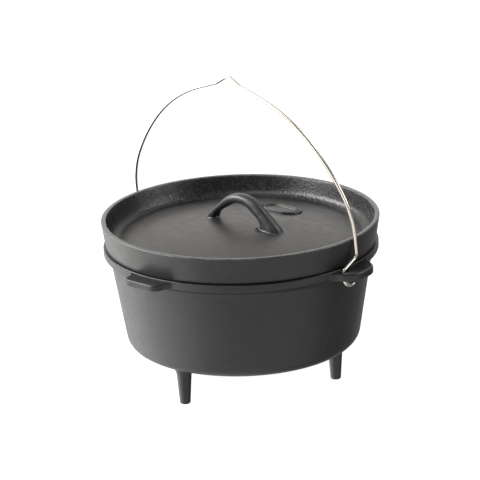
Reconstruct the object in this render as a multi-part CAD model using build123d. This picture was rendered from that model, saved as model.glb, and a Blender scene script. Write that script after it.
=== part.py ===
from build123d import *
import os
from math import cos, radians, sin, sqrt, tan

# Cast iron camp dutch oven: a pot on three legs, a flanged lid with a loop handle, and a wire bail.
# Millimetres. Origin on the ground under the pot's axis, +Z up, bail pivot along X, lifting tabs on Y.

# ---- driving dimensions: pot ----
FLOOR_CLEAR = 45.7        # underside of the pot above the ground
WALL = 5.0                # thickness of the cast wall and bottom
BASE_R = 135.8            # outer radius just above the rounded bottom corner
BASE_Z = 62.0
CORNER_R = 16.0           # rounding where the bottom turns into the wall
NECK_R = 150.4            # outer radius under the rim band
NECK_Z = 152.0
RIM_R = 158.0             # outer radius of the rim band
RIM_LOW_Z = 157.5
RIM_Z = 166.0             # top of the rim, where the lid sits
MOUTH_R = 146.5           # inner radius at the rim
NECK_FILLET_R = 4.0       # concave step under the rim band
RIM_EDGE_R = 1.0

# ---- driving dimensions: legs, ears and tabs ----
LEG_RING_R = 106.7
LEG_FOOT_R = 6.0
LEG_MID_R = 7.85
LEG_MID_Z = 27.0
LEG_TOP_R = 13.5          # flare where the leg runs into the pot's bottom
LEG_FLARE = [(0.9, 38.0), (2.4, 42.5)]   # growth over the middle radius, at these heights
FOOT_EDGE = 1.2           # worn edge round the foot
EAR_TOP_Z = 165.0
EAR_T = 9.0               # thickness of a bail ear
EAR_REACH = 180.5         # outer end of an ear, from the pot's axis
EAR_NOSE_R = 27.0         # rounding of the ear's nose
EAR_ROOT_HALF = 33.0      # half width where the ear meets the rim
EAR_NOSE_HALF_ANGLE = 62.0   # half of the nose's arc
LUG_SINK = 3.0            # roots start this far inside the rim band, before they are cut to it
LUG_STOCK_IN = 140.0      # inner end of a lug's stock, inside the pot
TAB_T = 7.5
TAB_REACH = 176.5
TAB_HALF = 25.0
TAB_DRAFT = 2.0           # the tab is this much narrower at its outer end, each side
TAB_SHOULDER = 9.0        # length of the widening into the rim
TAB_ROOT_HALF = 31.0
TAB_CORNER_R = 8.0

# ---- driving dimensions: bail ----
WIRE_R = 2.1
BAIL_X = 162.9            # the two upright ends of the bail, just outside the lid
PIVOT_Y = -4.0
PIVOT_Z = EAR_TOP_Z - EAR_T / 2
HOOK_R = 14.5             # curl of the hook round the pivot axis
HOOK_END = 290.0          # angle where the hook ends, from +Y round over the top
HOOK_START = 140.0        # angle where the curl runs into the slanted neck
BEND_R = 7.0              # bend from the neck into the upright leg
LEG_DY = 10.0             # the upright leg stands this far behind the pivot
LEG_DZ = 16.0
BAIL_LEAN = 6.2           # degrees that the bail leans towards -Y
SLOT_Y0 = -23.0           # slot in each ear for the hook
SLOT_Y1 = -11.5
SLOT_HALF_X = 4.2
LEG_RISE = 22.4           # straight part of the leg above its lower bend
ARCH = [(107.0, 27.0), (230.0, 16.0), (174.0, 28.0)]   # radius and turn of each arc, going up
NOTCH_HALF = 17.0         # half width of the hanging notch at the crown
NOTCH_R = 9.0
NOTCH_RISE = 10.4         # peak above the shoulders, before it is rounded

# ---- driving dimensions: lid ----
LID_SEAT_Z = 166.4        # underside of the flange, just clear of the pot's rim
LID_LOW_R = 155.0
LID_TOP_R = 160.0
LID_TOP_Z = 197.0
LID_RIM_IN_R = 154.2      # inner edge of the flange's top
TRAY_R = 139.5            # edge of the domed plate
TRAY_Z = 173.5
CROWN_Z = 188.0           # top of the domed plate
FILLET_R = 10.0           # fillet between the plate and the flange
LIP_Z = 163.2             # underside of the lip that centres the lid in the pot
LIP_TOP_R = 145.6
LIP_IN_R = 135.5
LIP_SLANT = 34.0          # degrees from level of the lip's outside
TRAY_FOOT = 8.0           # the flange's inside starts this far outside the plate's edge
LID_EDGE_R = 1.2
HANDLE_X = 2.0            # middle of the handle
HANDLE_TOP_Z = 223.0
HANDLE_OUT_R = 40.0
HANDLE_IN_R = 24.0
HANDLE_T = 11.5           # thickness of the loop at its crown
HANDLE_HALF_W = 7.0
HANDLE_FOOT_IN = 29.0     # inner edge of a foot from the handle's middle
HANDLE_FOOT_OUT = 53.0
HANDLE_FOOT_Z = 189.0     # height where the outside of a foot turns down into the lid
HANDLE_FOOT_SPREAD = 4.0
HANDLE_SINK = 6.0         # feet start this far under the plate's crown, before they are cut to it
HANDLE_OUT_TURN = 45.0    # half of the crown's arc outside, and inside
HANDLE_IN_TURN = 35.0
HANDLE_EDGE_R = 3.6
BADGE_Y = 73.0            # plain raised pad behind the handle
BADGE_HALF_L = 28.0
BADGE_HALF_W = 17.0
BADGE_RISE = 1.8

os.makedirs("parts", exist_ok=True)


def save(name, shape):
    export_step(shape, "parts/" + name + ".step")


def pol(radius, angle_deg):
    # the point of a circle at an angle from its first axis
    a = radians(angle_deg)
    return (radius * cos(a), radius * sin(a))


def near(corners, x, z):
    # the corner of an outline at (x, z)
    return min(corners, key=lambda v: abs(v.X - x) + abs(v.Y - z) + abs(v.Z))


def turned(points):
    # closed outline in the XZ half plane, spun into a solid about the Z axis
    with BuildPart() as part:
        with BuildSketch(Plane.XZ):
            with BuildLine():
                Polyline(*points, close=True)
            make_face()
        revolve(axis=Axis.Z)
    return part.part


def sphere_radius(half_chord, rise):
    return (half_chord ** 2 + rise ** 2) / (2 * rise)


# ---- pot: bowl and rim band ----
def pot_solid():
    slope = (NECK_R - BASE_R) / (NECK_Z - BASE_Z)
    inner_base_r = BASE_R - WALL
    floor_z = FLOOR_CLEAR + WALL
    corner_x = BASE_R - slope * (BASE_Z - FLOOR_CLEAR)
    inner_corner_x = inner_base_r - slope * (BASE_Z - floor_z)
    outline = [
        (0, FLOOR_CLEAR), (corner_x, FLOOR_CLEAR), (NECK_R, NECK_Z), (RIM_R, RIM_LOW_Z), (RIM_R, RIM_Z),
        (MOUTH_R, RIM_Z), (MOUTH_R, RIM_LOW_Z), (NECK_R - WALL, NECK_Z), (inner_corner_x, floor_z),
        (0, floor_z),
    ]
    with BuildPart() as part:
        with BuildSketch(Plane.XZ):
            with BuildLine():
                Polyline(*outline, close=True)
            make_face()
            fillet(near(vertices(), corner_x, FLOOR_CLEAR), CORNER_R)
            fillet(near(vertices(), inner_corner_x, floor_z), CORNER_R - WALL)
            fillet(near(vertices(), NECK_R, NECK_Z), NECK_FILLET_R)
            fillet(near(vertices(), RIM_R, RIM_Z), RIM_EDGE_R)
            fillet(near(vertices(), MOUTH_R, RIM_Z), RIM_EDGE_R)
        revolve(axis=Axis.Z)
    return part.part


# ---- legs ----
def leg_solid(angle):
    outline = [(0, 0), (LEG_FOOT_R - FOOT_EDGE, 0), (LEG_FOOT_R, FOOT_EDGE), (LEG_MID_R, LEG_MID_Z)]
    outline += [(LEG_MID_R + growth, z) for growth, z in LEG_FLARE]
    outline += [(LEG_TOP_R, FLOOR_CLEAR), (0, FLOOR_CLEAR)]
    x, y = pol(LEG_RING_R, angle)
    return turned(outline).moved(Location((x, y, 0)))


# ---- lugs on the rim ----
def keep_outside_pot(lug):
    # a lug's inner face is the rim band's own face
    return lug - Pos(0, 0, EAR_TOP_Z) * Cylinder(RIM_R, 2 * EAR_TOP_Z)


def ear_solid(side):
    # rounded nose and a root that widens into the rim
    low_z = EAR_TOP_Z - EAR_T
    centre_x = EAR_REACH - EAR_NOSE_R
    root_x = sqrt(RIM_R ** 2 - EAR_ROOT_HALF ** 2) - LUG_SINK
    nose_dx, nose_dy = pol(EAR_NOSE_R, EAR_NOSE_HALF_ANGLE)
    with BuildPart() as part:
        with BuildSketch(Plane.XY.offset(low_z)):
            with BuildLine():
                back = (centre_x + nose_dx, nose_dy)
                front = (centre_x + nose_dx, -nose_dy)
                ThreePointArc(back, (EAR_REACH, 0), front)
                Polyline(front, (root_x, -EAR_ROOT_HALF), (LUG_STOCK_IN, -EAR_ROOT_HALF),
                         (LUG_STOCK_IN, EAR_ROOT_HALF), (root_x, EAR_ROOT_HALF), back)
            make_face()
        extrude(amount=EAR_T)
        with BuildSketch(Plane.XY.offset(low_z)):
            with Locations((BAIL_X, (SLOT_Y0 + SLOT_Y1) / 2)):
                SlotOverall(SLOT_Y1 - SLOT_Y0, 2 * SLOT_HALF_X, rotation=90)
        extrude(amount=EAR_T, mode=Mode.SUBTRACT)
    lug = keep_outside_pot(part.part)
    if side < 0:
        lug = mirror(lug, about=Plane.YZ)
    return lug


def tab_solid(side):
    low_z = EAR_TOP_Z - TAB_T
    root_y = sqrt(RIM_R ** 2 - TAB_ROOT_HALF ** 2) - LUG_SINK
    shoulder_y = root_y + TAB_SHOULDER
    end_half = TAB_HALF - TAB_DRAFT
    with BuildPart() as part:
        with BuildSketch(Plane.XY.offset(low_z)):
            with BuildLine():
                Polyline((-TAB_ROOT_HALF, -LUG_STOCK_IN), (-TAB_ROOT_HALF, -root_y),
                         (-TAB_HALF, -shoulder_y),
                         (-end_half, -TAB_REACH), (end_half, -TAB_REACH), (TAB_HALF, -shoulder_y),
                         (TAB_ROOT_HALF, -root_y), (TAB_ROOT_HALF, -LUG_STOCK_IN), close=True)
            make_face()
            fillet(vertices().sort_by(Axis.Y)[:2], TAB_CORNER_R)
        extrude(amount=TAB_T)
    lug = keep_outside_pot(part.part)
    if side > 0:
        lug = mirror(lug, about=Plane.XZ)
    return lug


# ---- lid: domed plate, flange and centring lip in one casting ----
def dome(edge_r, edge_z, crown_z, base_z):
    # solid under a shallow dome, down to base_z
    radius = sphere_radius(edge_r, crown_z - edge_z)
    ball = Pos(0, 0, crown_z - radius) * Sphere(radius)
    stock = Pos(0, 0, base_z) * Cylinder(
        LID_LOW_R, crown_z - base_z + 1, align=(Align.CENTER, Align.CENTER, Align.MIN)
    )
    return stock & ball


def lid_solid():
    wall_foot_r = TRAY_R + TRAY_FOOT
    with BuildPart() as part:
        with BuildSketch(Plane.XZ):
            with BuildLine():
                top = ThreePointArc((0, CROWN_Z), dome_point(TRAY_R / 2), (TRAY_R, TRAY_Z))
                Polyline(top @ 1, (wall_foot_r, TRAY_Z), (LID_RIM_IN_R, LID_TOP_Z), (LID_TOP_R, LID_TOP_Z),
                         (LID_LOW_R, LID_SEAT_Z), (LIP_TOP_R, LID_SEAT_Z), lip_corner(), (LIP_IN_R, LIP_Z),
                         (LIP_IN_R, TRAY_Z - WALL))
                ThreePointArc((LIP_IN_R, TRAY_Z - WALL), under_point(LIP_IN_R / 2), (0, CROWN_Z - WALL))
                Line((0, CROWN_Z - WALL), (0, CROWN_Z))
            make_face()
            fillet(near(vertices(), wall_foot_r, TRAY_Z), FILLET_R)
            fillet(near(vertices(), LID_RIM_IN_R, LID_TOP_Z), LID_EDGE_R)
            fillet(near(vertices(), LID_TOP_R, LID_TOP_Z), LID_EDGE_R)
        revolve(axis=Axis.Z)
    return part.part


def dome_point(r):
    radius = sphere_radius(TRAY_R, CROWN_Z - TRAY_Z)
    return (r, CROWN_Z - radius + sqrt(radius ** 2 - r ** 2))


def under_point(r):
    rise = CROWN_Z - TRAY_Z
    radius = sphere_radius(LIP_IN_R, rise)
    return (r, CROWN_Z - WALL - radius + sqrt(radius ** 2 - r ** 2))


def lip_corner():
    # the lip's outside slants so that the lid can be drawn up and forwards off the pot
    drop = LID_SEAT_Z - LIP_Z
    return (LIP_TOP_R - drop / tan(radians(LIP_SLANT)), LIP_Z)


# ---- loop handle on the lid ----
def handle_solid():
    out_dx, out_dz = pol(HANDLE_OUT_R, 90 - HANDLE_OUT_TURN)
    shoulder = (out_dx, HANDLE_TOP_Z - HANDLE_OUT_R + out_dz)
    in_top = HANDLE_TOP_Z - HANDLE_T
    in_dx, in_dz = pol(HANDLE_IN_R, 90 - HANDLE_IN_TURN)
    in_mid = (in_dx, in_top - HANDLE_IN_R + in_dz)
    in_side = (HANDLE_FOOT_IN, in_top - HANDLE_IN_R)
    sunk_z = CROWN_Z - HANDLE_SINK
    foot_side = (HANDLE_FOOT_OUT, HANDLE_FOOT_Z)
    foot_low = (HANDLE_FOOT_OUT + HANDLE_FOOT_SPREAD, sunk_z)
    foot_in = (HANDLE_FOOT_IN, sunk_z)
    with BuildPart() as part:
        with BuildSketch(Plane.XZ.offset(-HANDLE_HALF_W)):
            with BuildLine():
                ThreePointArc(flipped(shoulder), (0, HANDLE_TOP_Z), shoulder)
                Polyline(shoulder, foot_side, foot_low, foot_in, in_side)
                Spline(in_side, in_mid, (0, in_top), flipped(in_mid), flipped(in_side),
                       tangents=((0, 1), (0, -1)))
                Polyline(flipped(in_side), flipped(foot_in), flipped(foot_low), flipped(foot_side),
                         flipped(shoulder))
            make_face()
        extrude(amount=2 * HANDLE_HALF_W)
        side_edges = [e for e in edges() if abs(abs(e.center().Y) - HANDLE_HALF_W) < 0.01]
        fillet([e for e in side_edges if e.center().Z > sunk_z + 1], HANDLE_EDGE_R)
    loop = part.part.moved(Location((HANDLE_X, 0, 0)))
    return loop - lid_dome()


def flipped(point):
    return (-point[0], point[1])


def lid_dome():
    # solid under the plate's domed top, which the handle and the pad stand on
    return dome(TRAY_R, TRAY_Z, CROWN_Z, TRAY_Z - WALL)


# ---- plain raised pad on the lid ----
def badge_solid():
    outline = Pos(0, BADGE_Y, TRAY_Z) * extrude(
        SlotOverall(2 * BADGE_HALF_L, 2 * BADGE_HALF_W), CROWN_Z - TRAY_Z
    )
    return (outline & lid_dome().moved(Location((0, 0, BADGE_RISE)))) - lid_dome()


# ---- wire bail: hook, slanted neck, leg, arch and hanging notch, the same on both sides ----
def hook_route():
    # the hook and neck lie in the plane x = BAIL_X, and are given as (y, z) from the pivot axis
    def at(dy, dz):
        return Vector(BAIL_X, PIVOT_Y + dy, PIVOT_Z + dz)

    def curl(angle):
        return at(*pol(HOOK_R, angle))

    bend = at(LEG_DY, LEG_DZ)
    leg_top = bend + lean_up() * LEG_RISE
    with BuildLine() as route:
        ThreePointArc(curl(HOOK_END), curl((HOOK_END + 180) / 2), curl(180))
        ThreePointArc(curl(180), curl((180 + HOOK_START) / 2), curl(HOOK_START))
        FilletPolyline(curl(HOOK_START), bend, leg_top, radius=BEND_R)
    return route, leg_top


def lean_up():
    # straight up, in the plane that the bail leans in
    lean = radians(BAIL_LEAN)
    return Vector(0, -sin(lean), cos(lean))


def arch_route(leg_top):
    # points are (x, height over the leg's top, measured in the leaning plane)
    def lift(point):
        return Vector(point[0], leg_top.Y, leg_top.Z) + lean_up() * point[1]

    x, height, turn = BAIL_X, 0.0, 0.0
    arcs = []
    for radius, step in ARCH:
        points = []
        for part_turn in (0.0, radians(step) / 2, radians(step)):
            angle = turn + part_turn
            points.append((x - radius * (cos(turn) - cos(angle)),
                           height + radius * (sin(angle) - sin(turn))))
        arcs.append(points)
        x, height = points[-1]
        turn += radians(step)
    shoulder = (NOTCH_HALF, height + (x - NOTCH_HALF) / tan(turn))
    peak = (0, shoulder[1] + NOTCH_RISE)
    crown = [(x, height), shoulder, peak, flipped(shoulder), flipped((x, height))]
    with BuildLine() as route:
        for points in arcs:
            ThreePointArc(*[lift(p) for p in points])
        FilletPolyline(*[lift(p) for p in crown], radius=NOTCH_R)
        for points in reversed(arcs):
            ThreePointArc(*[lift(flipped(p)) for p in reversed(points)])
    return route


def bail_wire():
    hook, leg_top = hook_route()
    arch = arch_route(leg_top)
    other_hook = mirror(hook.line, about=Plane.YZ)
    wire = Wire(hook.edges() + arch.edges() + other_hook.edges())
    section = Plane(origin=wire @ 0, z_dir=wire % 0) * Circle(WIRE_R)
    right_half = split(sweep(section, path=wire), bisect_by=Plane.YZ)
    return right_half + mirror(right_half, about=Plane.YZ)


save("pot_body", pot_solid())
for label, angle in (("front", -90), ("right", 30), ("left", 150)):
    save("leg_" + label, leg_solid(angle))
save("bail_ear_right", ear_solid(1))
save("bail_ear_left", ear_solid(-1))
save("lifting_tab_front", tab_solid(-1))
save("lifting_tab_back", tab_solid(1))
save("lid_body", lid_solid())
save("lid_handle", handle_solid())
save("lid_badge", badge_solid())
save("bail_wire", bail_wire())
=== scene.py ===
from math import atan2, cos, degrees, hypot, pi, radians, sin, sqrt, tan

import bmesh
import bpy
from mathutils import Matrix, Vector


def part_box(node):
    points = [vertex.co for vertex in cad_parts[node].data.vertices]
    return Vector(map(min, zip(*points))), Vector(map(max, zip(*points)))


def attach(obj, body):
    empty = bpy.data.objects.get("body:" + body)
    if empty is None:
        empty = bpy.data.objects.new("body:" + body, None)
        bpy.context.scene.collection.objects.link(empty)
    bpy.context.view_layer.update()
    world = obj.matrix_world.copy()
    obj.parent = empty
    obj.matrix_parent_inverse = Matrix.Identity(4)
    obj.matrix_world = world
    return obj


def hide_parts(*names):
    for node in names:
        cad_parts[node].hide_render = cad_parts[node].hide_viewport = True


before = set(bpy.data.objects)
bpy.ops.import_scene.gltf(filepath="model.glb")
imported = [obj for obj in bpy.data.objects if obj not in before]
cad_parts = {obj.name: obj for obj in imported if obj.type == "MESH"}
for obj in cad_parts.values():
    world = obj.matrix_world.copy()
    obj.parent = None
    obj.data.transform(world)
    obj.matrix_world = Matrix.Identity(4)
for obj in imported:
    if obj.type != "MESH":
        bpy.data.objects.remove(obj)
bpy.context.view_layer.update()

# ======================================================================================
# The pot: one sand casting in grey iron. A tapered bowl with a rounded bottom corner and a thicker
# rim band, with two bail ears and two lifting tabs poured in one with the band.
# ======================================================================================

rim_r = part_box("pot_body")[1][0]         # outside of the rim band
rim_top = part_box("pot_body")[1][2]
pot_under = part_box("pot_body")[0][2]
wall = 0.0050
neck_r, neck_z = 0.1504, 0.1520          # outside of the bowl, just under the band
base_r, base_z = 0.1358, 0.0620          # outside of the bowl, just over its bottom corner
corner_round = 0.0160
mouth_r = 0.1465
band_low = 0.1575
steps_round = 360                        # one degree each, so the lugs start on whole steps
crease = 38                              # degrees: a sharper edge than this is shaded crisp
micron = 1e-6


def rounded_wire(points, longest, segments=6):
    """A wire through (x, z, rounding) points. Corners are rounded and long runs are cut up."""
    bm = bmesh.new()
    verts = [bm.verts.new((x, 0.0, z)) for x, z, _ in points]
    for a, b in zip(verts, verts[1:]):
        bm.edges.new((a, b))
    corners = []
    for i in range(1, len(points) - 1):
        if points[i][2]:
            before = verts[i - 1].co - verts[i].co
            after = verts[i + 1].co - verts[i].co
            turn = pi - before.angle(after)
            corners.append((verts[i], points[i][2] * tan(turn / 2)))
    for vert, reach in corners:
        bmesh.ops.bevel(bm, geom=[vert], offset=reach, segments=segments, profile=0.5,
                        affect="VERTICES", material=-1)
    for edge in list(bm.edges):
        cuts = int(edge.calc_length() / longest)
        if cuts:
            bmesh.ops.subdivide_edges(bm, edges=[edge], cuts=cuts)
    return bm


def turned(bm, steps):
    """Spins the wire in bm round Z into a closed skin."""
    bmesh.ops.spin(bm, geom=bm.verts[:] + bm.edges[:], cent=(0, 0, 0), axis=(0, 0, 1),
                   angle=2 * pi, steps=steps, use_merge=True)
    bmesh.ops.remove_doubles(bm, verts=bm.verts, dist=micron)
    bmesh.ops.recalc_face_normals(bm, faces=bm.faces)
    return bm


def walk(bm):
    """The points of the wire in bm in order, starting from its end that was made first."""
    bm.verts.index_update()
    here = min((v for v in bm.verts if len(v.link_edges) == 1), key=lambda v: v.index)
    path, last = [here.co.copy()], None
    while True:
        onward = [e for e in here.link_edges if e is not last]
        if not onward:
            bm.free()
            return path
        last = onward[0]
        here = last.other_vert(here)
        path.append(here.co.copy())


def evenly(path, count):
    """count + 1 evenly spaced points along a path."""
    lengths = [0.0]
    for a, b in zip(path, path[1:]):
        lengths.append(lengths[-1] + (b - a).length)
    spaced, k = [], 0
    for i in range(count + 1):
        wanted = lengths[-1] * i / count
        while k < len(path) - 2 and lengths[k + 1] < wanted:
            k += 1
        share = (wanted - lengths[k]) / (lengths[k + 1] - lengths[k])
        spaced.append(path[k].lerp(path[k + 1], min(share, 1.0)))
    return spaced


def place(co):
    """A point's place to a micron, to find it again after an extrusion."""
    return tuple(round(c / micron) for c in co)


def extrude_skin(bm, skin, keys):
    """Extrudes a patch of faces, and gives the new patch with the keys of its unmoved points."""
    rim = list(dict.fromkeys(e for f in skin for e in f.edges))
    grown = bmesh.ops.extrude_face_region(bm, geom=skin + rim)["geom"]
    new = [g for g in grown if isinstance(g, bmesh.types.BMFace)]
    return new, {v: keys[place(v.co)] for f in new for v in f.verts}


def as_piece(bm, name, sharp=crease):
    """A smooth-shaded object from bm, with edges sharper than that many degrees kept crisp."""
    mesh = bpy.data.meshes.new(name)
    bm.to_mesh(mesh)
    bm.free()
    mesh.shade_smooth()
    mesh.set_sharp_from_angle(angle=radians(sharp))
    piece = bpy.data.objects.new(name, mesh)
    bpy.context.scene.collection.objects.link(piece)
    return piece


slope = (neck_r - base_r) / (neck_z - base_z)
corner_out = base_r - slope * (base_z - pot_under)
floor_z = pot_under + wall
corner_in = base_r - wall - slope * (base_z - floor_z)
band_rows = [0.1584, 0.1598, 0.1617, 0.1636, 0.1650]   # heights of the band's rows of faces
band_draft, neck_round, band_round, rim_round, mouth_round = 0.0004, 0.006, 0.0014, 0.0010, 0.003
pot_outline = [(0, pot_under, 0), (corner_out, pot_under, corner_round)]
pot_outline += [(neck_r, neck_z, neck_round), (rim_r - band_draft, band_low, band_round)]
pot_outline += [(rim_r, z, 0) for z in band_rows]
pot_outline += [(rim_r, rim_top, rim_round), (mouth_r, rim_top, rim_round)]
pot_outline += [(mouth_r, band_low, mouth_round), (neck_r - wall, neck_z, mouth_round)]
pot_outline += [(corner_in, floor_z, corner_round - wall), (0, floor_z, 0)]
pot = turned(rounded_wire(pot_outline, 0.012), steps_round)


least_reach = 0.76                       # a lug's rounded edge is never drawn in further than this


def grow_lug(bm, middle, half_steps, outline, low, high, edge_round):
    """Draws the band's faces round the angle middle out to a lug between two heights.

    outline is half of its edge in plan, as (across, out, rounding) points from the root to the
    middle line.
    """
    turn = Matrix.Rotation(radians(middle), 3, "Z")
    half_angle = radians(half_steps * 360 / steps_round)
    root = (rim_r * sin(half_angle), rim_r * cos(half_angle), 0)
    half = [root] + outline
    whole = [(-x, y, r) for x, y, r in half] + [(x, y, r) for x, y, r in reversed(half) if x]
    targets = evenly(walk(rounded_wire(whole, 0.003, 10)), 2 * half_steps)
    flat = turn.inverted()

    def from_middle(co):
        local = flat @ co
        return atan2(local.y, local.x)

    def in_band(face):
        c = face.calc_center_median()
        on_band = abs(hypot(c.x, c.y) - rim_r) < 0.0002 and band_rows[0] < c.z < band_rows[-1]
        return on_band and abs(from_middle(c)) < half_angle

    def key_of(co):
        column = half_steps + round(degrees(from_middle(co)) * steps_round / 360)
        return column, (co.z - band_rows[0]) / (band_rows[-1] - band_rows[0])

    skin = [f for f in bm.faces if in_band(f)]
    foot = {key_of(v.co): v.co.copy() for f in skin for v in f.verts}
    keys = {place(v.co): key_of(v.co) for f in skin for v in f.verts}
    thick = high - low
    # on the way out: (share of the way, 0, share of the lug's own thickness)
    stages = [(0.05, 0, 0.72), (0.13, 0, 0.93), (0.25, 0, 1.0), (0.5, 0, 1.0), (0.75, 0, 1.0)]
    # round the edge: (1, how far the edge is drawn in, how much of the thickness it loses)
    stages += [(1.0, edge_round * (1 - sin(radians(a))), edge_round * (1 - cos(radians(a))))
               for a in (0, 18, 36, 54, 72, 90)]
    for share, inset, loss in stages:
        skin, ring = extrude_skin(bm, skin, keys)
        for v, (column, rise) in ring.items():
            start = foot[column, rise]
            across, _, out = targets[column]
            goal = turn @ Vector((out, across, 0))
            run = (Vector((goal.x, goal.y)) - Vector((start.x, start.y))).length
            reach = share
            level = start.z + (low + thick * rise - start.z) * loss
            if share == 1.0:
                reach = max(least_reach, 1 - inset / max(run, inset, micron))
                level = low + loss + (thick - 2 * loss) * rise
            if column in (0, 2 * half_steps):
                reach, level = 0, start.z
            v.co = Vector((start.x + (goal.x - start.x) * reach,
                           start.y + (goal.y - start.y) * reach, level))
        keys = {place(v.co): key for v, key in ring.items()}


lug_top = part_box("bail_ear_right")[1][2]
ear_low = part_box("bail_ear_right")[0][2]
ear_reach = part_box("bail_ear_right")[1][0]
tab_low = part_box("lifting_tab_back")[0][2]
tab_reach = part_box("lifting_tab_back")[1][1]
lug_round = 0.0020
ear_half_steps, tab_half_steps = 12, 11  # half of each root, in steps round the band
ear_edge = [(0.0285, 0.1600, 0.010), (0.0232, 0.1745, 0.018),
            (0.0118, ear_reach - 0.0002, 0.020), (0, ear_reach, 0)]
tab_edge = [(0.0262, 0.1600, 0.007), (0.0247, 0.1640, 0.02), (0.0232, tab_reach, 0.0080),
            (0, tab_reach, 0)]
for middle in (0, 180):
    grow_lug(pot, middle, ear_half_steps, ear_edge, ear_low, lug_top, lug_round)
for middle in (90, 270):
    grow_lug(pot, middle, tab_half_steps, tab_edge, tab_low, lug_top, lug_round)
# the lugs' thin slivers at the band are merged in a fixed order, so that they always merge alike
in_order = sorted(pot.verts, key=lambda v: place(v.co))
bmesh.ops.remove_doubles(pot, verts=in_order, dist=20 * micron)
bmesh.ops.recalc_face_normals(pot, faces=pot.faces)
pot_casting = as_piece(pot, "pot_casting")

# the slot in each bail ear that the bail's hook swings in, with softened edges
slot_x, slot_front, slot_back, slot_half = 0.1629, -0.0230, -0.0115, 0.0042
slot_middle = (slot_front + slot_back) / 2
straight = (slot_back - slot_front) / 2 - slot_half
slot_soft = 0.0009
past_ear = 0.001                         # the cutter stands this far past both of the ear's faces
# (height, how far the slot is flared there)
span = [(ear_low - past_ear, 1), (ear_low, 1), (ear_low + 0.3 * slot_soft, 0.45),
        (ear_low + slot_soft, 0), (lug_top - slot_soft, 0), (lug_top - 0.3 * slot_soft, 0.45),
        (lug_top, 1), (lug_top + past_ear, 1)]
cutter = bmesh.new()
for side in (1, -1):
    disc = bmesh.ops.create_circle(cutter, cap_ends=True, segments=32, radius=slot_half)["verts"]
    for v in disc:
        v.co.y += straight if v.co.y > micron else -straight
    bmesh.ops.translate(cutter, verts=disc, vec=(side * slot_x, slot_middle, span[0][0]))
    centre = Vector((side * slot_x, slot_middle, 0))
    skin = list(dict.fromkeys(f for v in disc for f in v.link_faces))
    base = {place(v.co): (v.co - centre) for v in disc}
    for v in disc:
        away = base[place(v.co)]
        v.co += Vector((away.x, away.y, 0)).normalized() * slot_soft
    keys = {place(v.co): v.co.copy() for v in disc}
    for level, flare in span[1:]:
        skin, ring = extrude_skin(cutter, skin, keys)
        for v, first in ring.items():
            away = Vector((first.x - centre.x, first.y - centre.y, 0)).normalized()
            v.co = Vector((first.x, first.y, level)) - away * slot_soft * (1 - flare)
        keys = {place(v.co): first for v, first in ring.items()}
bmesh.ops.recalc_face_normals(cutter, faces=cutter.faces)
slot_cutter = as_piece(cutter, "slot_cutter")
cut = pot_casting.modifiers.new("slots", "BOOLEAN")
cut.operation = "DIFFERENCE"
cut.solver = "EXACT"
cut.object = slot_cutter
slotted = pot_casting.evaluated_get(bpy.context.evaluated_depsgraph_get())
whole = bpy.data.meshes.new_from_object(slotted)
pot_casting.modifiers.clear()
pot_casting.data = whole
bpy.data.objects.remove(slot_cutter)
whole.shade_smooth()
whole.set_sharp_from_angle(angle=radians(crease))


class Reading:
    """The value on a shader socket. Sums on it add Math nodes."""

    def __init__(self, finish, socket):
        self.finish, self.socket = finish, socket

    def _math(self, operation, first, second):
        node = self.finish.nodes.new("ShaderNodeMath")
        node.operation = operation
        for slot, value in zip(node.inputs, (first, second)):
            self.finish.feed(slot, value)
        return Reading(self.finish, node.outputs[0])

    def __add__(self, other):
        return self._math("ADD", self, other)

    def __sub__(self, other):
        return self._math("SUBTRACT", self, other)

    def __rsub__(self, other):
        return self._math("SUBTRACT", other, self)

    def __mul__(self, other):
        return self._math("MULTIPLY", self, other)

    __radd__, __rmul__ = __add__, __mul__


class Nodes:
    """The nodes of a material or world, with one method that adds any of them."""

    def __init__(self, owner, at):
        owner.use_nodes = True
        self.nodes = owner.node_tree.nodes
        self.links = owner.node_tree.links
        self.at = self.add("ShaderNodeTexCoord")[at]

    def feed(self, slot, value):
        if isinstance(value, Reading):
            value = value.socket
        if isinstance(value, bpy.types.NodeSocket):
            self.links.new(value, slot)
        else:
            slot.default_value = value

    def add(self, kind, settings=None, stops=None, **values):
        node = self.nodes.new(kind)
        for setting, value in (settings or {}).items():
            setattr(node, setting, value)
        if stops:
            ramp = node.color_ramp.elements
            while len(ramp) < len(stops):
                ramp.new(0.5)
            for element, (position, colour) in zip(ramp, stops):
                element.position = position
                element.color = colour
        for socket, value in values.items():
            self.feed(node.inputs[socket.replace("_", " ")], value)
        return node.outputs

    def spread(self, value, low, high, to_low=0.0, to_high=1.0):
        """Takes value softly from to_low to to_high as it goes from low to high."""
        out = self.add("ShaderNodeMapRange", {"interpolation_type": "SMOOTHSTEP"}, Value=value,
                       From_Min=low, From_Max=high, To_Min=to_low, To_Max=to_high)
        return Reading(self, out["Result"])

    def parts(self, vector):
        """The x, y and z of a vector."""
        return [Reading(self, s) for s in self.add("ShaderNodeSeparateXYZ", Vector=vector)]


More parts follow.
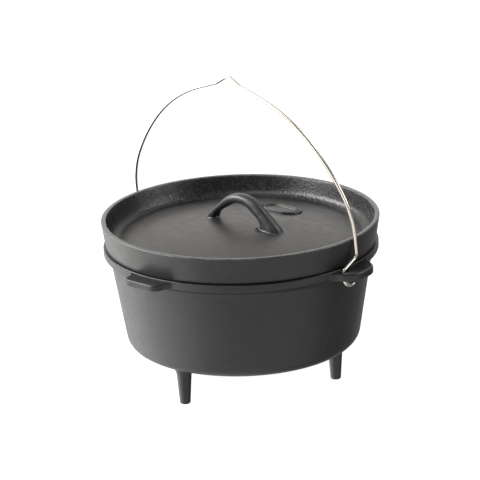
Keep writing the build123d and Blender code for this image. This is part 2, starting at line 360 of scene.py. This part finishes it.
class Finish(Nodes):
    """A material on the piece's own Object coordinates."""

    def __init__(self, name, **constant):
        self.material = bpy.data.materials.new(name)
        super().__init__(self.material, "Object")
        self.shader = self.nodes["Principled BSDF"]
        for socket, value in constant.items():
            self.shader.inputs[socket.replace("_", " ")].default_value = value

    def noise(self, size, detail=2.0, rough=0.5):
        """Noise between 0 and 1 with patches about size metres across."""
        out = self.add("ShaderNodeTexNoise", Vector=self.at, Scale=0.6 / size, Detail=detail,
                       Roughness=rough)
        return Reading(self, out["Fac"])

    def blend(self, share, first, second):
        """A colour between first and second."""
        node = self.nodes.new("ShaderNodeMix")
        node.data_type = "RGBA"
        for slot, value in ((0, share), (6, first), (7, second)):
            self.feed(node.inputs[slot], value)
        return node.outputs[2]

    def set(self, socket, value):
        self.feed(self.shader.inputs[socket], value)

    def relief(self, *layers):
        """Bumps the surface by (height 0 to 1, depth in metres) layers, the coarsest first."""
        normal = None
        for height, depth in layers:
            values = {"Height": height, "Distance": depth, "Strength": 1.0}
            if normal:
                values["Normal"] = normal
            normal = self.add("ShaderNodeBump", **values)["Normal"]
        self.set("Normal", normal)


swell_size = 0.030                       # length of the slow waves that a sand mould leaves


def iron_tone(cloud, mottle, fine):
    """How light the iron is from place to place, 0 to 1."""
    return cloud.finish.spread(cloud * 0.5 + mottle * 0.35 + fine * 0.15, 0.36, 0.66)


def iron_sheen(cloud, mottle, smooth, rough):
    """The roughness of the iron from place to place."""
    return cloud.finish.spread(mottle * 0.55 + cloud * 0.45, 0.32, 0.68, smooth, rough)


def iron_finish(name, dark, light, smooth, rough, grain, grain_depth, swell_depth, **constant):
    """Seasoned, unpainted cast iron: near black, patchy in tone and sheen, with sand grain."""
    iron = Finish(name, **constant)
    cloud = iron.noise(0.060, 3.0, 0.55)
    mottle = iron.noise(0.007, 3.0, 0.6)
    fine = iron.noise(grain, 2.0, 0.6)
    iron.set("Base Color", iron.blend(iron_tone(cloud, mottle, fine), dark, light))
    iron.set("Roughness", iron_sheen(cloud, mottle, smooth, rough))
    swell = iron.noise(swell_size, 1.0, 0.4)
    pits = iron.noise(grain * 2.6, 3.0, 0.65)
    iron.relief((swell, swell_depth), (pits, grain_depth * 1.6), (fine, grain_depth))
    return iron.material


pot_iron = iron_finish("pot_iron", dark=(0.0075, 0.0075, 0.0077, 1),
                       light=(0.0135, 0.0135, 0.0138, 1), smooth=0.33, rough=0.44,
                       grain=0.0011, grain_depth=0.00013, swell_depth=0.0004,
                       IOR=1.5, Specular_Tint=(0.96, 0.975, 1, 1))
pot_casting.data.materials.clear()
pot_casting.data.materials.append(pot_iron)
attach(pot_casting, "pot")
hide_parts("pot_body", "bail_ear_right", "bail_ear_left", "lifting_tab_front",
            "lifting_tab_back")

# ======================================================================================
# Three short legs cast on the pot's bottom. Each is a slim round peg, a little thicker towards the
# top, where it runs into the bottom in a soft flare. The feet are rubbed slightly round by use.
# ======================================================================================

foot_edge, flare_r = 0.0014, 0.0136
leg_top_z = pot_under + 0.0006           # just inside the pot's bottom
leg_outline = [(0, 0, 0), (0.0060, 0, foot_edge), (0.00785, 0.0270, 0.02), (0.0088, 0.0385, 0.012),
               (flare_r, pot_under, 0), (flare_r, leg_top_z, 0), (0, leg_top_z, 0)]
for side in ("front", "right", "left"):
    low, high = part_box("leg_" + side)
    leg = turned(rounded_wire(leg_outline, 0.002, 8), 48)
    bmesh.ops.translate(leg, verts=leg.verts,
                        vec=((low[0] + high[0]) / 2, (low[1] + high[1]) / 2, 0))
    leg_piece = as_piece(leg, "leg_casting_" + side)
    leg_piece.data.materials.append(pot_iron)
    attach(leg_piece, "pot")
    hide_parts("leg_" + side)

# ======================================================================================
# The lid: one iron casting. A shallow domed plate inside an upright flange that keeps coals in
# place, and under it a lip that drops into the pot's mouth.
# ======================================================================================

lid_low, lid_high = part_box("lid_body")
flange_top = lid_high[2]
flange_r = lid_high[0]
crown_z, tray_r, tray_z = 0.1880, 0.1395, 0.1735
seat_z, lip_z = 0.1664, lid_low[2]
lip_in_r, lip_top_r, seat_r, flange_in_r = 0.1355, 0.1456, 0.1550, 0.1542
lip_slant = radians(34)                  # the lip's outside, from level
lip_out_r = lip_top_r - (seat_z - lip_z) / tan(lip_slant)
tray_fillet, flange_round = 0.010, 0.0014
lid_outline = [(tray_r, tray_z, 0), (tray_r + 0.008, tray_z, tray_fillet)]
lid_outline += [(flange_in_r, flange_top, flange_round), (flange_r, flange_top, flange_round)]
lid_outline += [(seat_r, seat_z, 0.0009), (lip_top_r, seat_z, 0.001), (lip_out_r, lip_z, 0.0008)]
lid_outline += [(lip_in_r, lip_z, 0.001), (lip_in_r, tray_z - wall, 0)]


def dome_radius(edge_r, rise):
    return (edge_r ** 2 + rise ** 2) / (2 * rise)


def dome_to_axis(bm, x, z, crown, steps):
    """Carries the wire's end at (x, z) over a shallow dome to its crown on the axis."""
    radius = dome_radius(x, crown - z)
    end = min(bm.verts, key=lambda v: (v.co - Vector((x, 0, z))).length)
    bmesh.ops.spin(bm, geom=[end], cent=(0, 0, crown - radius), axis=(0, 1, 0),
                   angle=-atan2(x, radius - crown + z), steps=steps)
    min(bm.verts, key=lambda v: hypot(v.co.x, v.co.z - crown)).co = (0, 0, crown)


lid = rounded_wire(lid_outline, 0.006)
dome_to_axis(lid, tray_r, tray_z, crown_z, 28)
dome_to_axis(lid, lip_in_r, tray_z - wall, crown_z - wall, 20)
lid = turned(lid, steps_round)
lid_casting = as_piece(lid, "lid_casting")


def dome_z(x, y):
    """Height of the plate's top at a point."""
    radius = dome_radius(tray_r, crown_z - tray_z)
    return crown_z - radius + sqrt(radius ** 2 - x ** 2 - y ** 2)


# the plate is smoother and a touch warmer than the flange, which keeps its coarse sand skin
lid_iron = Finish("lid_iron", IOR=1.5)
x, y, z = lid_iron.parts(lid_iron.at)
out_from_axis = Reading(lid_iron, lid_iron.add("ShaderNodeMath", {"operation": "SQRT"},
                                               Value=x * x + y * y)[0])
flange_skin = lid_iron.spread(out_from_axis, tray_r - 0.004, tray_r + 0.006)
# the coarse skin is on the flange's inside: the flange leans out by this much for each metre up,
# from a middle that would meet the ground at this radius
flange_lean, flange_foot_r = 0.224, 0.1132
inner_skin = flange_skin * lid_iron.spread(out_from_axis - z * flange_lean, flange_foot_r - 0.0005,
                                           flange_foot_r + 0.0012, 1.0, 0.22)
cloud = lid_iron.noise(0.050, 3.0, 0.55)
mottle = lid_iron.noise(0.006, 3.0, 0.6)
fine = lid_iron.noise(0.0010, 2.0, 0.6)
coarse = lid_iron.noise(0.0016, 3.0, 0.6)
tone = iron_tone(cloud, mottle, fine)
plate_tone = lid_iron.blend(tone, (0.012, 0.0114, 0.0107, 1), (0.021, 0.0199, 0.0187, 1))
flange_tone = lid_iron.blend(tone, (0.0065, 0.0065, 0.0067, 1), (0.0120, 0.0120, 0.0123, 1))
# bare, paler iron where the flange's top edge is rubbed, made pale enough that it is also a painted
# highlight line along the edge
rubbed_edge_and_highlight = (lid_iron.spread(z, flange_top - 0.0022, flange_top - 0.0004)
             * lid_iron.spread(mottle * 0.6 + cloud * 0.4, 0.38, 0.58, 0.35, 1.0))
body_tone = lid_iron.blend(flange_skin, plate_tone, flange_tone)
# pale flecks in the flange's inner sand skin, which also stand in for painted glints on its grain
fleck_and_glint = lid_iron.spread(lid_iron.noise(0.0024, 2.0, 0.7), 0.50, 0.64) * inner_skin * 0.7
body_tone = lid_iron.blend(fleck_and_glint, body_tone, (0.036, 0.036, 0.037, 1))
lid_iron.set("Base Color", lid_iron.blend(rubbed_edge_and_highlight, body_tone, (0.060, 0.058, 0.055, 1)))
lid_iron.set("Roughness", iron_sheen(cloud, mottle, 0.32, 0.45)
             - inner_skin * 0.10 - rubbed_edge_and_highlight * 0.05)
lid_iron.relief((lid_iron.noise(swell_size, 1.0, 0.4), 0.0002), (coarse * inner_skin, 0.00050),
                (fine * (0.5 + inner_skin * 0.5), 0.00013))
lid_casting.data.materials.append(lid_iron.material)
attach(lid_casting, "lid")
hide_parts("lid_body")

# ======================================================================================
# The loop handle, cast in one with the lid: a thick arch whose two feet run into the plate in a
# fillet. The right foot is wider than the left and has a few small beads of iron along it.
# ======================================================================================

handle_x = 0.0020
handle_half_w, foot_half_w = 0.0072, 0.0098
handle_outer = [(-0.0498, 0.1863, 0), (-0.0470, 0.1905, 0.016), (0, 0.2368, 0.040),
                (0.0556, 0.1905, 0.016), (0.0592, 0.1857, 0)]
handle_inner = [(-0.0362, 0.1870, 0), (-0.0322, 0.1962, 0.013), (0, 0.2156, 0.024),
                (0.0288, 0.1969, 0.013), (0.0294, 0.1874, 0)]
handle_stations = 64
foot_fillet = 0.0021
fillet_sunk = 0.0008                     # the fillet's edge goes this far into the plate
foot_rise = 0.033                        # the right foot widens from this height over the plate
back_spread = 1.4                        # extra reach of the fillet at the right foot's back
ring_points = 28
square_power = 2.2                       # 2 is an ellipse, more is squarer

outer = evenly(walk(rounded_wire(handle_outer, 0.002, 16)), handle_stations)
inner = evenly(walk(rounded_wire(handle_inner, 0.002, 16)), handle_stations)


def squarish(angle, power):
    """The point at an angle on a ring of radius 1, squarer with a higher power."""
    c, s = cos(angle), sin(angle)
    return [abs(v) ** (2 / power) * (1 if v > 0 else -1) for v in (c, s)]


def handle_ring(i, clearance=0.0, growth=0.0, on_dome=False):
    """The handle's section at a station, point by point. A foot's section follows the dome."""
    middle = (outer[i] + inner[i]) / 2
    reach = (outer[i] - inner[i]) / 2
    low = (crown_z + foot_rise - middle.z) / foot_rise
    flare = foot_half_w - handle_half_w if middle.x > 0 else 0
    half_w = handle_half_w + flare * max(low, 0) ** 1.6
    ring = []
    for k in range(ring_points):
        a, b = squarish(2 * pi * (k + 0.5) / ring_points, square_power)
        b = b * half_w
        point = Vector((middle.x, 0, middle.z)) + reach * a + Vector((0, b, 0))
        if on_dome:
            out = Vector((reach.x * a, b, 0))
            backward = max(out.normalized().dot(Vector((0.7, 0.7, 0))), 0)
            spread = 1 + back_spread * backward * (middle.x > 0)
            out = out + out.normalized() * growth * spread
            point = Vector((middle.x, 0, 0)) + out
            point.x += handle_x
            point.z = dome_z(point.x, point.y) + clearance
        else:
            point.x += handle_x
        ring.append(point)
    return ring


# the two feet's fillets, and between them the sections that stand clear of the plate
fillet = [(foot_fillet * (1 - cos(radians(a))), foot_fillet * (1 - sin(radians(a))))
          for a in (0, 15, 30, 45, 60, 75, 90)]
near_end, far_end = 1, handle_stations - 1
rings = [handle_ring(near_end, -fillet_sunk, foot_fillet, True)]
rings += [handle_ring(near_end, high, wide, True) for high, wide in fillet]
rings += [handle_ring(i) for i in range(near_end + 1, far_end)]
rings += [handle_ring(far_end, high, wide, True) for high, wide in reversed(fillet)]
rings += [handle_ring(far_end, -fillet_sunk, foot_fillet, True)]


def drawn_through(rings):
    """A closed bar through rings of points, from a disc extruded from ring to ring."""
    bm = bmesh.new()
    disc = bmesh.ops.create_circle(bm, cap_ends=True, segments=len(rings[0]), radius=1)["verts"]
    for v, co in zip(disc, rings[0]):
        v.co = co
    skin = list(disc[0].link_faces)
    keys = {place(v.co): k for k, v in enumerate(disc)}
    for ring in rings[1:]:
        skin, grown = extrude_skin(bm, skin, keys)
        for v, k in grown.items():
            v.co = ring[k]
        keys = {place(v.co): k for v, k in grown.items()}
    open_rim = [e for e in bm.edges if e.is_boundary]
    if open_rim:
        bmesh.ops.contextual_create(bm, geom=open_rim)
    bmesh.ops.recalc_face_normals(bm, faces=bm.faces)
    return bm


handle = drawn_through(rings)
beads = [(0.0308, -0.0092, 0.0017), (0.0326, -0.0108, 0.0012), (0.0352, -0.0114, 0.0015),
         (0.0391, -0.0117, 0.0011), (0.0298, -0.0065, 0.0014), (0.0420, -0.0118, 0.0009)]
for bead_x, bead_y, bead_r in beads:
    bead = bmesh.ops.create_icosphere(handle, subdivisions=3, radius=bead_r)["verts"]
    bmesh.ops.scale(handle, verts=bead, vec=(1.0, 1.3, 0.8))
    bmesh.ops.translate(handle, verts=bead, vec=(bead_x, bead_y, dome_z(bead_x, bead_y) + 0.0002))
lid_handle = as_piece(handle, "lid_handle_casting")
handle_iron = iron_finish("handle_iron", dark=(0.0055, 0.0055, 0.0056, 1),
                          light=(0.0150, 0.0149, 0.0150, 1), smooth=0.30, rough=0.42,
                          grain=0.0013, grain_depth=0.00020, swell_depth=0.0003, IOR=1.55)
lid_handle.data.materials.append(handle_iron)
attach(lid_handle, "lid")
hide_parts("lid_handle")

# ======================================================================================
# A plain raised pad, cast in one with the lid's plate behind the handle. It is long with round
# ends, and has a low border with a second ridge inside it.
# ======================================================================================

pad_low, pad_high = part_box("lid_badge")
pad_y = (pad_low[1] + pad_high[1]) / 2
pad_end_r, pad_straight = 0.0170, 0.0110
pad_rise = 2.20                           # how much the lines below are stretched upwards
pad = bmesh.new()
disc = bmesh.ops.create_circle(pad, cap_ends=True, segments=72, radius=pad_end_r)["verts"]
for v in disc:
    v.co.x += pad_straight if v.co.x > micron else -pad_straight
inside = list(disc[0].link_faces)
pad_sunk = 0.0006
level = {place(v.co): -pad_sunk for v in disc}
# (how far in from the last line, height over the plate)
pad_lines = [(0.0002, 0.0002), (0.0002, 0.0006), (0.0003, 0.0009), (0.0004, 0.0010)]
pad_lines += [(0.0009, 0.0010), (0.0004, 0.0009), (0.0003, 0.0006), (0.0003, 0.0002)]
pad_lines += [(0.0004, 0.0001), (0.0014, 0.0001), (0.0003, 0.0002), (0.0003, 0.0005)]
pad_lines += [(0.0003, 0.0007), (0.0005, 0.0008), (0.0008, 0.0008), (0.0004, 0.0007)]
pad_lines += [(0.0003, 0.0005), (0.0003, 0.0002), (0.0004, 0.0001)]
pad_lines += [(0.0018, 0.0001)] * 3
for inset, height in pad_lines:
    bmesh.ops.inset_region(pad, faces=inside, thickness=inset, use_even_offset=True,
                           use_boundary=True)
    for f in inside:
        for v in f.verts:
            level[place(v.co)] = height * pad_rise
for v in pad.verts:
    height = level[place(v.co)]
    v.co.y += pad_y
    v.co.z = dome_z(v.co.x, v.co.y) + height
under = [e for e in pad.edges if e.is_boundary]
bmesh.ops.contextual_create(pad, geom=under)
bmesh.ops.recalc_face_normals(pad, faces=pad.faces)
lid_pad = as_piece(pad, "lid_pad_casting")
lid_pad.data.materials.append(lid_iron.material)
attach(lid_pad, "lid")
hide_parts("lid_badge")

# ======================================================================================
# The bail: one length of bright drawn steel wire, bent to a hook at each end, a slanted neck, a
# leg, a wide arch and a small peak in the middle to hang it by. The hooks go through the slots.
# ======================================================================================

wire_r = 0.0021
bail_x = slot_x
pivot_y, pivot_z = -0.0040, 0.1605
hook_r, hook_end, hook_start = 0.0145, 290, 156
bend_dy, bend_dz, bend_round = 0.0100, 0.0160, 0.0070
lean, leg_rise = radians(6.2), 0.0224
arch_arcs = [(0.107, 27), (0.230, 16), (0.174, 28)]   # (radius, degrees), going up
shoulder_x, peak_rise, crown_round = 0.0170, 0.0104, 0.0090

# hook, neck and leg in the plane of the hook, drawn as (y, z) from the pivot
hook_points = [(hook_r * cos(radians(hook_start)), hook_r * sin(radians(hook_start)), 0)]
hook_points += [(bend_dy, bend_dz, bend_round)]
hook_points += [(bend_dy - leg_rise * sin(lean), bend_dz + leg_rise * cos(lean), 0)]
neck = [Vector((bail_x, pivot_y + p.x, pivot_z + p.z))
        for p in walk(rounded_wire(hook_points, 0.003, 10))]
curl = []
curl_steps = 30
for i in range(curl_steps + 1):
    angle = radians(hook_end + (hook_start - hook_end) * i / curl_steps)
    curl.append(Vector((bail_x, pivot_y + hook_r * cos(angle), pivot_z + hook_r * sin(angle))))
leg_top = neck[-1]

# half of the arch, drawn flat as (x, height over the leg's top), arc after arc
arch = bmesh.new()
end = arch.verts.new((bail_x, 0, 0))
heading = 0.0
for radius, turn in arch_arcs:
    centre = (end.co.x - radius * cos(heading), 0, end.co.z - radius * sin(heading))
    spun = bmesh.ops.spin(arch, geom=[end], cent=centre, axis=(0, 1, 0), angle=-radians(turn),
                          steps=turn // 2)
    end = [g for g in spun["geom_last"] if isinstance(g, bmesh.types.BMVert)][0]
    heading += radians(turn)
arch_half = walk(arch)
last = arch_half[-1]
shoulder = (shoulder_x, last.z + (last.x - shoulder_x) / tan(heading))
crown = [(last.x, last.z, 0), (*shoulder, crown_round), (0, shoulder[1] + peak_rise, crown_round),
         (-shoulder[0], shoulder[1], crown_round), (-last.x, last.z, 0)]
crown_path = walk(rounded_wire(crown, 0.004, 8))
flat_arch = arch_half[:-1] + crown_path + [Vector((-p.x, 0, p.z)) for p in reversed(arch_half[:-1])]
up = Vector((0, -sin(lean), cos(lean)))
arch_path = [Vector((p.x, leg_top.y, leg_top.z)) + up * p.z for p in flat_arch]
side_path = curl[:-1] + neck[:-1]
wire_path = side_path + arch_path + [Vector((-p.x, p.y, p.z)) for p in reversed(side_path)]


def wire_rings(path, radius, points):
    """Round sections along a path without a twist, drawn in to soft ends."""
    rings = []
    across = Vector((1, 0, 0))
    count = len(path)
    # (distance from the end, share of the radius)
    ends = [(0.0001, 0.35), (0.0004, 0.68), (0.0009, 0.9), (0.0016, 1.0)]
    for i, co in enumerate(path):
        ahead = path[min(i + 1, count - 1)] - co
        behind = co - path[max(i - 1, 0)]
        along = (ahead.normalized() + behind.normalized()).normalized()
        across = (across - along * across.dot(along)).normalized()
        other = along.cross(across)

        def ring(shift, share):
            turns = [2 * pi * k / points for k in range(points)]
            return [co + along * shift + (across * cos(t) + other * sin(t)) * radius * share
                    for t in turns]
        if i == 0:
            rings += [ring(shift, share) for shift, share in ends]
        elif i == count - 1:
            rings += [ring(-shift, share) for shift, share in reversed(ends)]
        else:
            rings.append(ring(0, 1))
    return rings


bail = as_piece(drawn_through(wire_rings(wire_path, wire_r, 20)), "bail_wire_drawn", sharp=60)
bail_steel = Finish("bail_steel", Metallic=1.0)
smudge = bail_steel.noise(0.020, 3.0, 0.6)
streak = bail_steel.noise(0.0016, 2.0, 0.6)
steel_dull, steel_bright = (0.66, 0.61, 0.53, 1), (0.86, 0.81, 0.74, 1)
bail_steel.set("Base Color", bail_steel.blend(smudge, steel_dull, steel_bright))
bail_steel.set("Roughness", bail_steel.spread(smudge * 0.6 + streak * 0.4, 0.3, 0.7, 0.14, 0.24))
bail_steel.relief((streak, 0.00003))
bail.data.materials.append(bail_steel.material)
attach(bail, "bail")
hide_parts("bail_wire")

# ======================================================================================
# The studio: a wide white floor, a pale room, large soft lights at the left, a soft one overhead
# and two small ones at the right that pick out the lid's flange.
# ======================================================================================

ground = bmesh.new()
floor_reach = 12
bmesh.ops.create_grid(ground, x_segments=1, y_segments=1, size=floor_reach)
floor = as_piece(ground, "floor")
floor_finish = Finish("floor_white", Roughness=0.9, Specular_IOR_Level=0.1,
                      Emission_Strength=0.97)
floor_finish.set("Base Color", (0.15, 0.15, 0.15, 1))
floor_finish.set("Emission Color", (1, 1, 1, 1))
floor.data.materials.append(floor_finish.material)

view_turn = radians(40.5)                # the camera stands this far round from the front
to_camera = Vector((sin(view_turn), -cos(view_turn), 0))
to_right = Vector((cos(view_turn), sin(view_turn), 0))
target = Vector((0, 0, 0.12))

# The room over the horizon is brightest behind the pot. The iron's sheen sees the white sweep under
# the pot as part of the room, bright at the left and in shade at the right and behind.
floor.visible_glossy = False
room = bpy.data.worlds.new("room")
bpy.context.scene.world = room
air = Nodes(room, "Generated")
ray_x, ray_y, ray_z = air.parts(air.at)
to_back = ray_x * -to_camera.x + ray_y * -to_camera.y
to_side = ray_x * to_right.x + ray_y * to_right.y
at_right = air.spread(to_side, 0.15, 0.75)
over = 0.27 - at_right * 0.10 + air.spread(to_back, 0.1, 0.75) * (1 - at_right)
at_left = air.spread(to_side, -0.08, -1.05)
in_shade = ((air.spread(to_back, -0.50, 0.12) - air.spread(to_back, 0.6, 1.0) * 0.3)
            * air.spread(to_side, -0.1, 0.4))
under = (0.98 - in_shade * 0.78 + at_left * at_left * 2.25
         + at_left * air.spread(to_back, 0.0, 0.8) * 1.0)
skyward = air.spread(ray_z, -0.06, 0.04)
background = air.nodes["Background"].inputs
air.feed(background["Strength"], over * skyward + under * (1 - skyward))
air.feed(background["Color"], (1.0, 0.985, 0.965, 1))


def soft_light(name, right, near, up, width, height, radiance):
    """A soft box of a given brightness that faces the pot, placed as seen from the front."""
    light = bpy.data.lights.new(name, "AREA")
    light.shape = "RECTANGLE"
    light.size, light.size_y = width, height
    light.energy = radiance * pi * width * height
    box = bpy.data.objects.new(name, light)
    box.location = to_right * right + to_camera * near + Vector((0, 0, up))
    box.rotation_euler = (target - box.location).to_track_quat("-Z", "Y").to_euler()
    bpy.context.scene.collection.objects.link(box)


soft_light("key_low", -1.8, 0.4, 0.45, 1.4, 0.8, 1.6)
soft_light("key_high", -1.15, -0.10, 0.98, 1.6, 0.6, 13.0)
soft_light("overhead", -0.7, 0.6, 2.1, 1.5, 1.2, 2.2)
soft_light("high_right", 1.5, -0.4, 1.7, 0.8, 0.5, 7.0)
soft_light("low_right", 1.6, 0.3, 0.80, 0.9, 0.5, 5.0)

# the camera: a long lens a little above the rim, very slightly rolled
camera_data = bpy.data.cameras.new("camera")
camera_data.sensor_width = 36
camera_data.lens = 200.75
camera = bpy.data.objects.new("camera", camera_data)
view_rise, view_roll, view_distance = radians(18.40), radians(-1.86), 3.0754
aim = to_right * -0.00107 + Vector((0, 0, 0.16618))
backward = to_camera * cos(view_rise) + Vector((0, 0, sin(view_rise)))
camera.location = aim + backward * view_distance
looking = (-backward).to_track_quat("-Z", "Y").to_matrix()
camera.rotation_euler = (looking @ Matrix.Rotation(view_roll, 3, "Z")).to_euler()
bpy.context.scene.collection.objects.link(camera)
bpy.context.scene.camera = camera
bpy.context.scene.view_settings.view_transform = "Standard"
